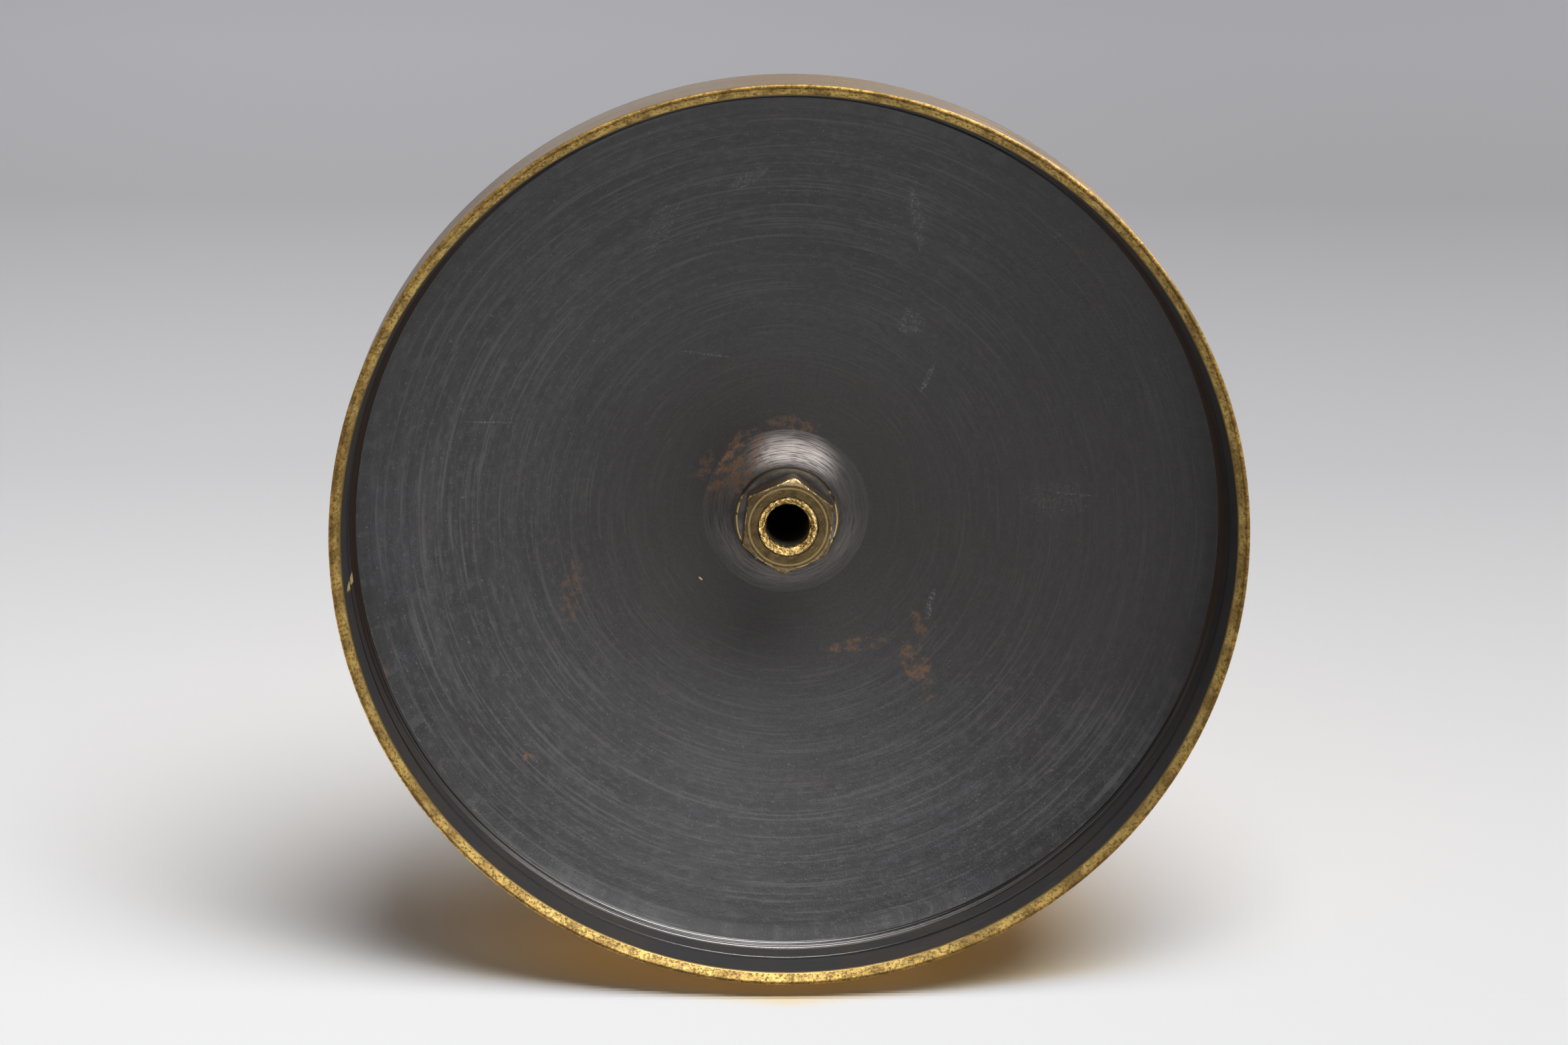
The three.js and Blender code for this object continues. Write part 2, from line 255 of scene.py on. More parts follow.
def feed(tree, socket, value):
    """Sets a socket to a number or a colour, or links it to a pattern."""
    if isinstance(value, tuple):
        socket.default_value = (*value, 1.0)
    elif isinstance(value, (int, float)):
        socket.default_value = value
    else:
        tree.links.new(value, socket)


def fill(tree, node, *pairs):
    """Feeds several of a node's inputs, each given by its name or its number."""
    for key, value in pairs:
        feed(tree, node.inputs[key], value)


def math_node(tree, operation, *values):
    node = tree.nodes.new("ShaderNodeMath")
    node.operation = operation
    for socket, value in zip(node.inputs, values):
        feed(tree, socket, value)
    return node.outputs[0]


def product(tree, first, *others):
    for other in others:
        first = math_node(tree, "MULTIPLY", first, other)
    return first


def total(tree, first, second):
    return math_node(tree, "ADD", first, second)


def difference(tree, first, second):
    return math_node(tree, "SUBTRACT", first, second)


def size_of(tree, value):
    return math_node(tree, "ABSOLUTE", value)


def object_point(tree):
    return tree.nodes.new("ShaderNodeTexCoord").outputs["Object"]


def split(tree, vector):
    node = tree.nodes.new("ShaderNodeSeparateXYZ")
    tree.links.new(vector, node.inputs[0])
    return node.outputs


def length_of(tree, x, y):
    return math_node(tree, "SQRT", total(tree, product(tree, x, x), product(tree, y, y)))


def radius_from_axis(tree):
    x, y, _ = split(tree, object_point(tree))
    return length_of(tree, x, y)


def noise(tree, vector, scale, detail, roughness=0.55, distortion=0.0):
    node = tree.nodes.new("ShaderNodeTexNoise")
    fill(tree, node, ("Vector", vector), ("Scale", scale), ("Detail", detail), ("Roughness", roughness),
         ("Distortion", distortion))
    return node.outputs["Fac"]


def ring_noise(tree, across, along, detail, roughness=0.55):
    """Noise that runs in rings about Z: across per metre of radius and height, along round the circle."""
    x, y, z = split(tree, object_point(tree))
    radius = length_of(tree, x, y)
    safe = math_node(tree, "MAXIMUM", radius, RING_LEAST_RADIUS)
    node = tree.nodes.new("ShaderNodeCombineXYZ")
    feed(tree, node.inputs[0], product(tree, math_node(tree, "DIVIDE", x, safe), along))
    feed(tree, node.inputs[1], product(tree, math_node(tree, "DIVIDE", y, safe), along))
    feed(tree, node.inputs[2], product(tree, total(tree, radius, z), across))
    return noise(tree, node.outputs[0], 1, detail, roughness)


def remap(tree, value, low, high, to_low=0.0, to_high=1.0):
    node = tree.nodes.new("ShaderNodeMapRange")
    node.clamp = True
    node.interpolation_type = "SMOOTHSTEP"
    fill(tree, node, ("Value", value), ("From Min", low), ("From Max", high), ("To Min", to_low),
         ("To Max", to_high))
    return node.outputs["Result"]


def mix(tree, factor, first, second):
    node = tree.nodes.new("ShaderNodeMix")
    node.data_type = "RGBA"
    fill(tree, node, (MIX_FACTOR, factor), (MIX_FIRST, first), (MIX_SECOND, second))
    return node.outputs[MIX_RESULT]


def layers(tree, colour, *rows):
    """Lays tints over a colour. A row holds a pattern, its start, its full value, a share and the tint."""
    for pattern, start, full, share, tint in rows:
        colour = mix(tree, remap(tree, pattern, start, full, 0, share), colour, tint)
    return colour


def coat(tree, shader, colour, roughness, metallic=0.0):
    """Gives the shader its colour, roughness and metal, each a value or a pattern."""
    fill(tree, shader, ("Base Color", colour), ("Roughness", roughness), ("Metallic", metallic))


def bump(tree, shader, *bumps):
    """Stacks bumps of (height, distance in millimetres, strength) on the shader's normal."""
    normal = None
    for height, distance, strength in bumps:
        node = tree.nodes.new("ShaderNodeBump")
        fill(tree, node, ("Height", height), ("Distance", distance * MM), ("Strength", strength))
        if normal is not None:
            tree.links.new(normal, node.inputs["Normal"])
        normal = node.outputs["Normal"]
    tree.links.new(normal, shader.inputs["Normal"])


def photo_axes():
    """The frame's X, Y and Z as seen by the camera, whose own axes are right, up and forward."""
    axis = Vector((
        math.sin(AXIS_YAW) * math.cos(AXIS_PITCH),
        math.sin(AXIS_PITCH),
        math.cos(AXIS_PITCH) * math.cos(AXIS_YAW)))
    up = Vector((0, 1, 0))
    up = (up - up.dot(axis) * axis).normalized()
    right = up.cross(axis)
    return right, -up, axis


def camera_place(axes):
    """Where the camera stands in the frame."""
    ring = Vector((RING_X, RING_Y, RING_DISTANCE))
    return Vector([-ring.dot(axis) for axis in axes])


def on_base(pixel_x, pixel_y, z):
    """Where the photograph's ray through a pixel meets the level z of the base, in the frame."""
    axes = photo_axes()
    ray = Vector((
        (pixel_x - PHOTO_WIDTH / 2) / FOCAL_PIXELS,
        (PHOTO_HEIGHT / 2 - pixel_y) / FOCAL_PIXELS,
        1))
    origin = camera_place(axes)
    direction = Vector([ray.dot(axis) for axis in axes])
    return origin + direction * ((z - origin.z) / direction.z)


def blob(tree, centre, length, width, angle, ragged):
    """A soft patch about a point of the base: 1 inside, 0 outside, with a ragged edge."""
    mapping = tree.nodes.new("ShaderNodeMapping")
    mapping.vector_type = "TEXTURE"
    mapping.inputs["Location"].default_value = (centre.x, centre.y, centre.z)
    mapping.inputs["Rotation"].default_value = (0, 0, angle)
    mapping.inputs["Scale"].default_value = (length, width, 1)
    tree.links.new(object_point(tree), mapping.inputs["Vector"])
    x, y, _ = split(tree, mapping.outputs[0])
    edge = noise(tree, object_point(tree), BLOB_EDGE_SCALE, 6, 0.7)
    edge = product(tree, difference(tree, edge, 0.5), ragged)
    return remap(tree, total(tree, length_of(tree, x, y), edge), 1.0, BLOB_SOLID)


def patches(tree, colour, marks, inside, tint):
    """Lays ragged marks over a colour. inside is a fine pattern that breaks each mark up."""
    for pixel, level, length, width, angle, ragged, strength in marks:
        patch = blob(tree, on_base(*pixel, level * MM), length * MM, width * MM, math.radians(angle), ragged)
        colour = mix(tree, product(tree, patch, inside, strength), colour, tint)
    return colour


class Profile:
    """An outline in radius and height, anticlockwise with the radius to the right, in metres."""

    def __init__(self, radius, height, finish=0):
        self.points = [(radius, height)]
        self.finishes = []
        self.finish = finish

    def line(self, radius, height, steps=1):
        start = self.points[-1]
        for step in range(1, steps + 1):
            share = step / steps
            self.add(start[0] + (radius - start[0]) * share, start[1] + (height - start[1]) * share)
        return self

    def curve(self, first, second, end, steps=16):
        start = self.points[-1]
        for step in range(1, steps + 1):
            t = step / steps
            weights = ((1 - t) ** 3, 3 * t * (1 - t) ** 2, 3 * t * t * (1 - t), t ** 3)
            handles = (start, first, second, end)
            self.add(*(sum(w * h[i] for w, h in zip(weights, handles)) for i in (0, 1)))
        return self

    def bend(self, handle, end, steps=10):
        start = self.points[-1]
        first = tuple(start[i] + (handle[i] - start[i]) * 2 / 3 for i in (0, 1))
        second = tuple(end[i] + (handle[i] - end[i]) * 2 / 3 for i in (0, 1))
        return self.curve(first, second, end, steps)

    def arc(self, centre_radius, centre_height, radius, start, end, steps=12):
        for step in range(1, steps + 1):
            angle = math.radians(start + (end - start) * step / steps)
            self.add(centre_radius + radius * math.cos(angle), centre_height + radius * math.sin(angle))
        return self

    def add(self, radius, height):
        last = self.points[-1]
        if math.hypot(radius - last[0], height - last[1]) > SAME_POINT:
            self.points.append((radius, height))
            self.finishes.append(self.finish)

    def use(self, finish):
        self.finish = finish
        return self

    def close(self):
        """Joins the outline to its start, where its end isn't there already."""
        start, last = self.points[0], self.points[-1]
        if math.hypot(start[0] - last[0], start[1] - last[1]) < SAME_POINT:
            self.points.pop()
        else:
            self.finishes.append(self.finish)
        return self

    def soften(self, width):
        """Breaks each sharp corner with a small round of the given width."""
        count = len(self.points)
        points, finishes = [], []
        for i, here in enumerate(self.points):
            before = Vector(self.points[i - 1]) - Vector(here)
            after = Vector(self.points[(i + 1) % count]) - Vector(here)
            turn = math.pi - before.angle(after)
            room = min(before.length, after.length) * SOFT_SHARE
            if turn < SOFT_ANGLE or room < width * SOFT_LEAST or here[0] < ON_AXIS:
                points.append(here)
                finishes.append(self.finishes[i % len(self.finishes)])
                continue
            reach = min(width, room)
            a = Vector(here) + before.normalized() * reach
            b = Vector(here) + after.normalized() * reach
            middle = (a + b + 2 * Vector(here)) / 4
            points += [tuple(a), tuple(middle), tuple(b)]
            finishes += [self.finishes[i - 1], self.finishes[i], self.finishes[i % len(self.finishes)]]
        self.points, self.finishes = points, finishes
        return self


def new_object(name, data):
    thing = bpy.data.objects.new(name, data)
    bpy.context.scene.collection.objects.link(thing)
    return thing


def smooth_piece(name, vertices, faces, finishes, sharp_angle):
    """A smoothly shaded piece with its sharp edges marked, and a finish for each face."""
    mesh = bpy.data.meshes.new(name)
    mesh.from_pydata(vertices, [], faces)
    mesh.polygons.foreach_set("material_index", finishes)
    mesh.polygons.foreach_set("use_smooth", [True] * len(faces))
    mesh.set_sharp_from_angle(angle=sharp_angle)
    mesh.update()
    return new_object(name, mesh)


def revolve(name, path, segments, shape=None):
    """A piece turned from a closed path. shape may move a point: it takes and gives (x, y, z)."""
    points = path.points
    rows, vertices = [], []
    for radius, height in points:
        if radius < ON_AXIS:
            rows.append([len(vertices)] * segments)
            vertices.append((0, 0, height))
            continue
        row = []
        for k in range(segments):
            angle = 2 * math.pi * k / segments
            row.append(len(vertices))
            point = (radius * math.cos(angle), radius * math.sin(angle), height)
            vertices.append(shape(*point) if shape else point)
        rows.append(row)
    faces, finishes = [], []
    on_axis = points[0][0] < ON_AXIS
    for i in range(len(points) - (1 if on_axis else 0)):
        low, high = rows[i], rows[(i + 1) % len(points)]
        for k in range(segments):
            n = (k + 1) % segments
            corners = [low[k], low[n], high[n], high[k]]
            faces.append([corner for j, corner in enumerate(corners) if corner != corners[j - 1]])
            finishes.append(path.finishes[i])
    return smooth_piece(name, vertices, faces, finishes, SHARP_ANGLE)


def dress(piece, body, node, slot, *materials):
    for mat in materials:
        piece.data.materials.append(mat)
    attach(piece, body)
    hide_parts(node)
    return piece


def ceiling_z(radius):
    """Height of the hollow's dish at a radius."""
    return DISH_EDGE_Z + DISH_RISE * (1 - (radius / DISH_EDGE_RADIUS) ** 2)


def dish_top_z(radius):
    return ceiling_z(radius) + PLATE


def turning_wave(radius):
    """Shallow rings left by the turning tool on the dish, as a height."""
    return sum(depth * MM * math.sin(2 * math.pi * radius / (pitch * MM) + phase)
               for pitch, depth, phase in TURNING_WAVES)


def edge_drop(radius):
    """How far the dish turns down towards its wall: ever steeper, then a straight ribbed slope."""
    bend = RIB_START_RADIUS - TURN_DOWN_RADIUS
    steepness = (ceiling_z(WALL_RADIUS) - WALL_TOP_Z) / (bend / 2 + WALL_RADIUS - RIB_START_RADIUS)
    in_bend = min(bend, max(0.0, radius - TURN_DOWN_RADIUS))
    return steepness * (in_bend ** 2 / (2 * bend) + max(0.0, radius - RIB_START_RADIUS))


def base_profile():
    boss_face = ceiling_z(BOSS_ROOT_RADIUS) - BOSS_DROP
    hollow = FOOT_RADIUS - RING_WIDTH
    land = FOOT_RADIUS - BAND_LAND
    path = Profile(THROUGH_RADIUS, boss_face, BOSS)

    # Boss, then the dish with its turning rings
    path.line(BOSS_FACE_RADIUS, boss_face, 4)
    root = ceiling_z(BOSS_ROOT_RADIUS) - BOSS_FADE_DROP
    path.curve((BOSS_FACE_RADIUS + 1.4 * MM, boss_face + 1.2 * MM),
                  (BOSS_ROOT_RADIUS - 1.9 * MM, root - 0.4 * MM), (BOSS_ROOT_RADIUS, root), 30)
    path.use(HOLLOW)
    reach = RIB_START_RADIUS - BOSS_ROOT_RADIUS
    for step in range(1, DISH_STEPS + 1):
        radius = BOSS_ROOT_RADIUS + reach * step / DISH_STEPS
        fade = min(1, step / WAVE_FADE_STEPS, (DISH_STEPS - step) / WAVE_FADE_STEPS)
        line = TURNED_LINE_DEPTH * math.exp(-((radius - TURNED_LINE_RADIUS) / TURNED_LINE_WIDTH) ** 2)
        root_drop = BOSS_FADE_DROP * math.exp(-(radius - BOSS_ROOT_RADIUS) / BOSS_FADE)
        level = ceiling_z(radius) - edge_drop(radius) - root_drop
        path.add(radius, level + fade * turning_wave(radius) + line)

    # Ribbed band, then the lower wall, the groove's two edges and the upper wall, down to the foot ring
    path.use(FILLET)
    for step in range(1, RIB_STEPS + 1):
        share = step / RIB_STEPS
        radius = RIB_START_RADIUS + (WALL_RADIUS - RIB_START_RADIUS) * share
        rib = RIB_DEPTH * math.sin(2 * math.pi * RIB_COUNT * share)
        path.add(radius, ceiling_z(radius) - edge_drop(radius) + rib)
    path.use(WALL)
    path.line(GROOVE_RADIUS, GROOVE_Z + 0.2 * MM, 4)
    path.use(FILLET)
    path.line(GROOVE_RADIUS - GROOVE_LIP, GROOVE_Z)
    path.line(GROOVE_RADIUS - GROOVE_LIP, GROOVE_Z - 0.2 * MM)
    path.line(GROOVE_RADIUS - GROOVE_RIM, GROOVE_Z - 0.4 * MM)
    path.line(GROOVE_RADIUS - GROOVE_RIM, UPPER_WALL_Z + 0.4 * MM, 3)
    path.line(UPPER_WALL_RADIUS - GROOVE_RIM, UPPER_WALL_Z + 0.2 * MM)
    path.line(UPPER_WALL_RADIUS - GROOVE_RIM, UPPER_WALL_Z)
    path.use(WALL)
    path.line(hollow - 0.08 * MM, BEVEL_RISE + 0.3 * MM, 6)
    path.use(RUBBED)
    path.line(hollow + 0.08 * MM, BEVEL_RISE - 0.04 * MM)
    path.use(FOOT)
    path.line(FOOT_RADIUS - FOOT_LAND, 0, 6)
    path.line(FOOT_RADIUS - 0.25 * MM, 0, 2)
    path.line(FOOT_RADIUS, 0.3 * MM)

    # Side band with its rounded edge, land, domed plate, shoulder and neck
    path.use(OUTSIDE)
    path.line(FOOT_RADIUS, BAND_HEIGHT - BAND_EDGE, 10)
    path.arc(FOOT_RADIUS - BAND_EDGE, BAND_HEIGHT - BAND_EDGE, BAND_EDGE, 0, 90, 10)
    path.line(land, BAND_HEIGHT)
    steps = 24
    for step in range(steps + 1):
        radius = land + (SHOULDER_RADIUS - land) * step / steps
        path.add(radius, dish_top_z(radius))
    top = dish_top_z(SHOULDER_RADIUS) + SHOULDER_STEP
    round_radius = SHOULDER_RADIUS - SHOULDER_LAND
    path.line(SHOULDER_RADIUS, top)
    path.line(round_radius, top)
    path.arc(round_radius - SHOULDER_ROUND, top, SHOULDER_ROUND, 0, 90, 14)
    cove = round_radius - SHOULDER_ROUND - SHOULDER_LAND
    cove_z = top + SHOULDER_ROUND
    seat = DISH_EDGE_Z + DISH_RISE + NECK_RISE
    neck = NECK_RADIUS - NECK_BEAD
    path.line(cove, cove_z)
    path.bend((neck, cove_z + 1 * MM), (neck, seat - 2 * NECK_BEAD), 20)
    path.arc(neck, seat - NECK_BEAD, NECK_BEAD, -90, 90, 14)
    path.line(THROUGH_RADIUS, seat)
    return path.close().soften(0.22 * MM)


def knop_profile(low, height, radius):
    collar, collar_height, neck_height = 9.5 * MM, 2.4 * MM, 1.6 * MM
    neck = collar - 1.2 * MM
    swell, swell_height = radius - 2 * MM, 5 * MM
    middle = low + height / 2
    top = low + height
    path = Profile(THROUGH_RADIUS, low)
    path.line(collar, low)
    path.line(collar, low + collar_height)
    path.line(neck, low + collar_height)
    path.line(neck, low + collar_height + neck_height)
    path.curve((swell, low + collar_height + neck_height), (radius, middle - swell_height),
                  (radius, middle), 20)
    path.curve((radius, middle + swell_height), (swell, top - collar_height - neck_height),
                  (neck, top - collar_height - neck_height), 20)
    path.line(neck, top - collar_height)
    path.line(collar, top - collar_height)
    path.line(collar, top)
    path.line(THROUGH_RADIUS, top)
    return path.close().soften(0.25 * MM)


def stem_foot_profile(low, height):
    torus, outer, waist = 3 * MM, 20 * MM, 9.5 * MM
    cove = outer - torus - 1 * MM
    bead = 1 * MM
    path = Profile(THROUGH_RADIUS, low)
    path.line(outer - torus, low)
    path.arc(outer - torus, low + torus, torus, -90, 90, 18)
    path.line(cove, low + 2 * torus)
    path.line(cove, low + 2 * torus + 1 * MM)
    path.bend((waist - bead, low + 2 * torus + 1 * MM), (waist - bead, low + height - 2 * bead), 18)
    path.arc(waist - bead, low + height - bead, bead, -90, 90, 10)
    path.line(THROUGH_RADIUS, low + height)
    return path.close().soften(0.2 * MM)


def shaft_profile(low, height):
    foot, foot_height = 10 * MM, 3 * MM
    foot_neck = foot - 1.6 * MM
    belly, belly_z = 13 * MM, low + 26 * MM
    waist, bead = 7.4 * MM, 1.6 * MM
    collar = waist + 1.4 * MM
    neck_z = low + height - 10 * MM
    top = low + height
    path = Profile(THROUGH_RADIUS, low)
    path.line(foot, low)
    path.line(foot, low + foot_height)
    path.line(foot_neck, low + foot_height)
    path.curve((foot_neck, low + foot_height + 7 * MM), (belly, belly_z - 12 * MM), (belly, belly_z), 24)
    path.curve((belly, belly_z + 16 * MM), (waist, neck_z - 30 * MM), (waist, neck_z), 30)
    path.arc(waist, neck_z + bead, bead, -90, 90, 12)
    path.line(waist, top - 3 * MM)
    path.line(collar, top - 2 * MM)
    path.line(collar, top)
    path.line(THROUGH_RADIUS, top)
    return path.close().soften(0.2 * MM)


def socket_profile(low, height):
    foot, foot_height = 9.5 * MM, 2.4 * MM
    waist = foot - 1.4 * MM
    bore, depth = 12.6 * MM, 39 * MM
    floor = low + height - depth
    floor_half = (height - depth) / 2
    belly, belly_z = 16.5 * MM, low + 36 * MM
    rim, rim_height = 17.5 * MM, 3 * MM
    top = low + height
    rim_z = top - rim_height
    half = rim_height / 2
    path = Profile(THROUGH_RADIUS, low)
    path.line(foot, low)
    path.line(foot, low + foot_height)
    path.line(waist, low + foot_height)
    path.bend((waist, low + floor_half), (waist + 2 * MM, low + floor_half + 3 * MM), 12)
    path.curve((belly - 2 * MM, low + floor_half + 6 * MM), (belly, belly_z - 12 * MM),
                  (belly, belly_z), 24)
    path.curve((belly, belly_z + 10 * MM), (bore + 1.8 * MM, rim_z - 8 * MM),
                  (bore + 2 * MM, rim_z), 20)
    path.line(rim - half, rim_z)
    path.arc(rim - half, rim_z + half, half, -90, 90, 12)
    path.line(bore, top)
    path.line(bore, floor, 8)
    path.line(THROUGH_RADIUS, floor)
    return path.close().soften(0.2 * MM)


def nozzle_profile(bottom):
    bore, sleeve, sleeve_height = 11 * MM, 12.2 * MM, 25 * MM
    low = bottom + sleeve_height
    hub, thick, dish = 16.5 * MM, 1.8 * MM, 6 * MM
    collar, collar_z = 13.6 * MM, low + 9 * MM
    chamfer = 0.4 * MM
    floor = bottom + 1.6 * MM
    rim = thick / 2
    path = Profile(0, bottom)
    path.line(sleeve - 1 * MM, bottom)
    path.line(sleeve, bottom + 1 * MM)
    path.line(sleeve, low, 6)
    path.line(hub, low)
    path.bend((PAN_RADIUS - 4 * MM, low), (PAN_RADIUS - rim, low + dish), 20)
    path.arc(PAN_RADIUS - rim, low + dish + rim, rim, -90, 90, 12)
    path.bend((PAN_RADIUS - 5 * MM, low + thick), (hub, low + thick), 20)
    path.bend((collar, low + thick), (collar - 0.6 * MM, collar_z - 2 * MM), 12)
    path.line(collar, collar_z - 2 * MM)
    path.line(collar, collar_z - chamfer)
    path.line(collar - chamfer, collar_z)
    path.line(bore + chamfer, collar_z)
    path.line(bore, collar_z - chamfer)
    path.line(bore, floor, 6)
    path.line(0, floor)
    return path.soften(0.18 * MM)


def washer_profile(low, height):
    """The thick washer: rounded lower edge, rubbed bright with a painted highlight at its left and right,
    and a small groove round its side.
    """
    radius = 8.7 * MM
    chamfer = 0.3 * MM
    path = Profile(THROUGH_RADIUS, low)
    path.line(radius - 1.4 * MM, low, 3)
    path.bend((radius - 0.8 * MM, low), (radius - 0.4 * MM, low + 0.2 * MM), 4)
    path.use(1)
    path.bend((radius, low + 0.35 * MM), (radius, low + 0.7 * MM), 4)
    path.use(0)
    path.line(radius, low + 0.9 * MM)
    path.line(radius - 0.18 * MM, low + 1.05 * MM)
    path.line(radius, low + 1.2 * MM)
    path.line(radius, low + height - chamfer)
    path.line(radius - chamfer, low + height)
    path.line(THROUGH_RADIUS, low + height)
    return path.close().soften(0.1 * MM)


def tube_profile(low, high):
    """The tie tube, from its torn mouth at the bottom to its plain top end."""
    chamfer = 0.4 * MM
    path = Profile(TUBE_RADIUS - TUBE_LIP, low, 0)
    path.line(TUBE_RADIUS - 0.2 * MM, low, 2)
    path.use(1)
    path.line(TUBE_RADIUS, low + 0.1 * MM)
    path.line(TUBE_RADIUS, high - chamfer)
    path.line(TUBE_RADIUS - chamfer, high)
    path.line(TUBE_BORE, high)
    path.use(2)
    path.line(TUBE_BORE, low + TUBE_MOUTH + 12 * MM)
    path.line(TUBE_BORE, low + TUBE_MOUTH, 6)
    path.use(0)
    path.line(TUBE_BORE + 0.2 * MM, low + 0.8 * MM, 5)
    path.line(TUBE_RADIUS - TUBE_LIP, low, 8)
    return path.close()


def torn_end(low):
    """Moves the metal of the tube's open mouth in and out, as a hacksaw and file left it."""
    def tear(x, y, z):
        inside = max(0.0, (TUBE_RADIUS - math.hypot(x, y)) / TEAR_EDGE)
        near = min(1.0, max(0.0, 1 - (z - low) / TEAR_REACH), inside)
        place = Vector((x, y, z)) / TEAR_SIZE
        lift = value_noise.noise(place) * TEAR_LIFT * near
        spread = 1 + value_noise.noise(place + TEAR_SHIFT) * TEAR_SPREAD * near
        return x * spread, y * spread, z + lift
    return tear


def make_nut(low, height):
    """The hexagon nut: flats, both chamfers, a sunk thread mouth and slightly bruised corners."""
    half = NUT_FLATS / 2
    corner = half / math.cos(math.pi / 6)
    chamfer = math.tan(NUT_CHAMFER_ANGLE)
    bore = TUBE_RADIUS + 0.06 * MM
    mouth = bore + 0.08 * MM
    top = low + height
    rings = []

    def flat_radius(angle):
        local = (angle - NUT_TURN) % (math.pi / 3) - math.pi / 6
        bruised = abs((angle - NUT_TURN + math.pi) % (2 * math.pi) - math.pi) < math.pi / 6
        return min(half / math.cos(local), corner - (NUT_BRUISE_CUT if bruised else NUT_CORNER_CUT))

    def face_radius(angle):
        return min(NUT_CHAMFER_RADIUS, flat_radius(angle))

    def chamfer_drop(angle):
        return max(0.0, flat_radius(angle) - NUT_CHAMFER_RADIUS) * chamfer

    def ring(radius_of, height_of):
        row = []
        for k in range(FITTING_SEGMENTS):
            angle = NUT_TURN + 2 * math.pi * k / FITTING_SEGMENTS
            radius = radius_of(angle)
            row.append((radius * math.cos(angle), radius * math.sin(angle), height_of(angle)))
        rings.append(row)

    ring(lambda a: bore, lambda a: low + 0.2 * MM)
    ring(lambda a: bore + 0.02 * MM, lambda a: low + 0.03 * MM)
    ring(lambda a: mouth, lambda a: low)
    for share in (0.3, 0.6, 0.95):
        ring(lambda a, s=share: mouth + (face_radius(a) - mouth) * s, lambda a: low)
    ring(face_radius, lambda a: low + NUT_BURR_HEIGHT)
    ring(lambda a: flat_radius(a) - 0.2 * MM,
         lambda a: low + max(NUT_BURR_HEIGHT, chamfer_drop(a) - 0.1 * MM))
    ring(flat_radius, lambda a: low + chamfer_drop(a) + 0.1 * MM)
    for share in (0.35, 0.65):
        ring(flat_radius, lambda a, s=share: low + height * s)
    ring(flat_radius, lambda a: top - chamfer_drop(a) - 0.05 * MM)
    ring(lambda a: face_radius(a) - 0.02 * MM, lambda a: top)
    ring(lambda a: bore, lambda a: top)
    faces = []
    for i in range(len(rings)):
        here = i * FITTING_SEGMENTS
        there = (i + 1) % len(rings) * FITTING_SEGMENTS
        for k in range(FITTING_SEGMENTS):
            n = (k + 1) % FITTING_SEGMENTS
            faces.append((here + k, here + n, there + n, there + k))
    finishes = [NUT_FACE] * 5 + [NUT_CHAMFER] * 2 + [NUT_BURR] + [NUT_FLANK] * 4 + [NUT_FACE] * 2
    finishes = [finish for finish in finishes for _ in range(FITTING_SEGMENTS)]
    vertices = [point for row in rings for point in row]
    return smooth_piece("hex_nut", vertices, faces, finishes, NUT_SHARP_ANGLE)


def polished_brass(name, tint, tarnish):
    mat, tree, shader = material(name)
    point = object_point(tree)
    fine = ring_noise(tree, 2600, 5, 3)
    broad = noise(tree, point, 45, 5, 0.6)
    spots = noise(tree, point, 620, 4, 0.65)
    spot_tint = tuple(0.45 * c for c in tarnish)
    colour = layers(tree, tint, (broad, 0.35, 0.7, 1, tarnish), (spots, 0.64, 0.72, 1, spot_tint))
    rough = total(tree, remap(tree, fine, 0.3, 0.7, 0.12, 0.24), remap(tree, broad, 0.4, 0.7, 0, 0.1))
    coat(tree, shader, colour, rough, 1.0)
    bump(tree, shader, (fine, 0.03, 0.35), (spots, 0.04, 0.2))
    return mat


def foot_brass():
    """Worn bevelled ring: brass rubbed bright on its edges and stained brown between."""
    mat, tree, shader = material("foot_ring_brass")
    point = object_point(tree)
    stain = noise(tree, point, 240, 8, 0.68)
    speck = noise(tree, point, 1900, 6, 0.7)
    rings = ring_noise(tree, 5200, 9, 3)
    colour = layers(tree, (0.58, 0.41, 0.135),
                    (stain, 0.38, 0.62, 1, (0.31, 0.20, 0.065)),
                    (speck, 0.47, 0.60, 0.8, (0.15, 0.095, 0.036)),
                    (rings, 0.58, 0.75, 0.35, (0.72, 0.56, 0.28)))
    coat(tree, shader, colour, remap(tree, speck, 0.3, 0.7, 0.50, 0.72), 1.0)
    bump(tree, shader, (speck, 0.08, 0.6), (rings, 0.04, 0.4))
    return mat


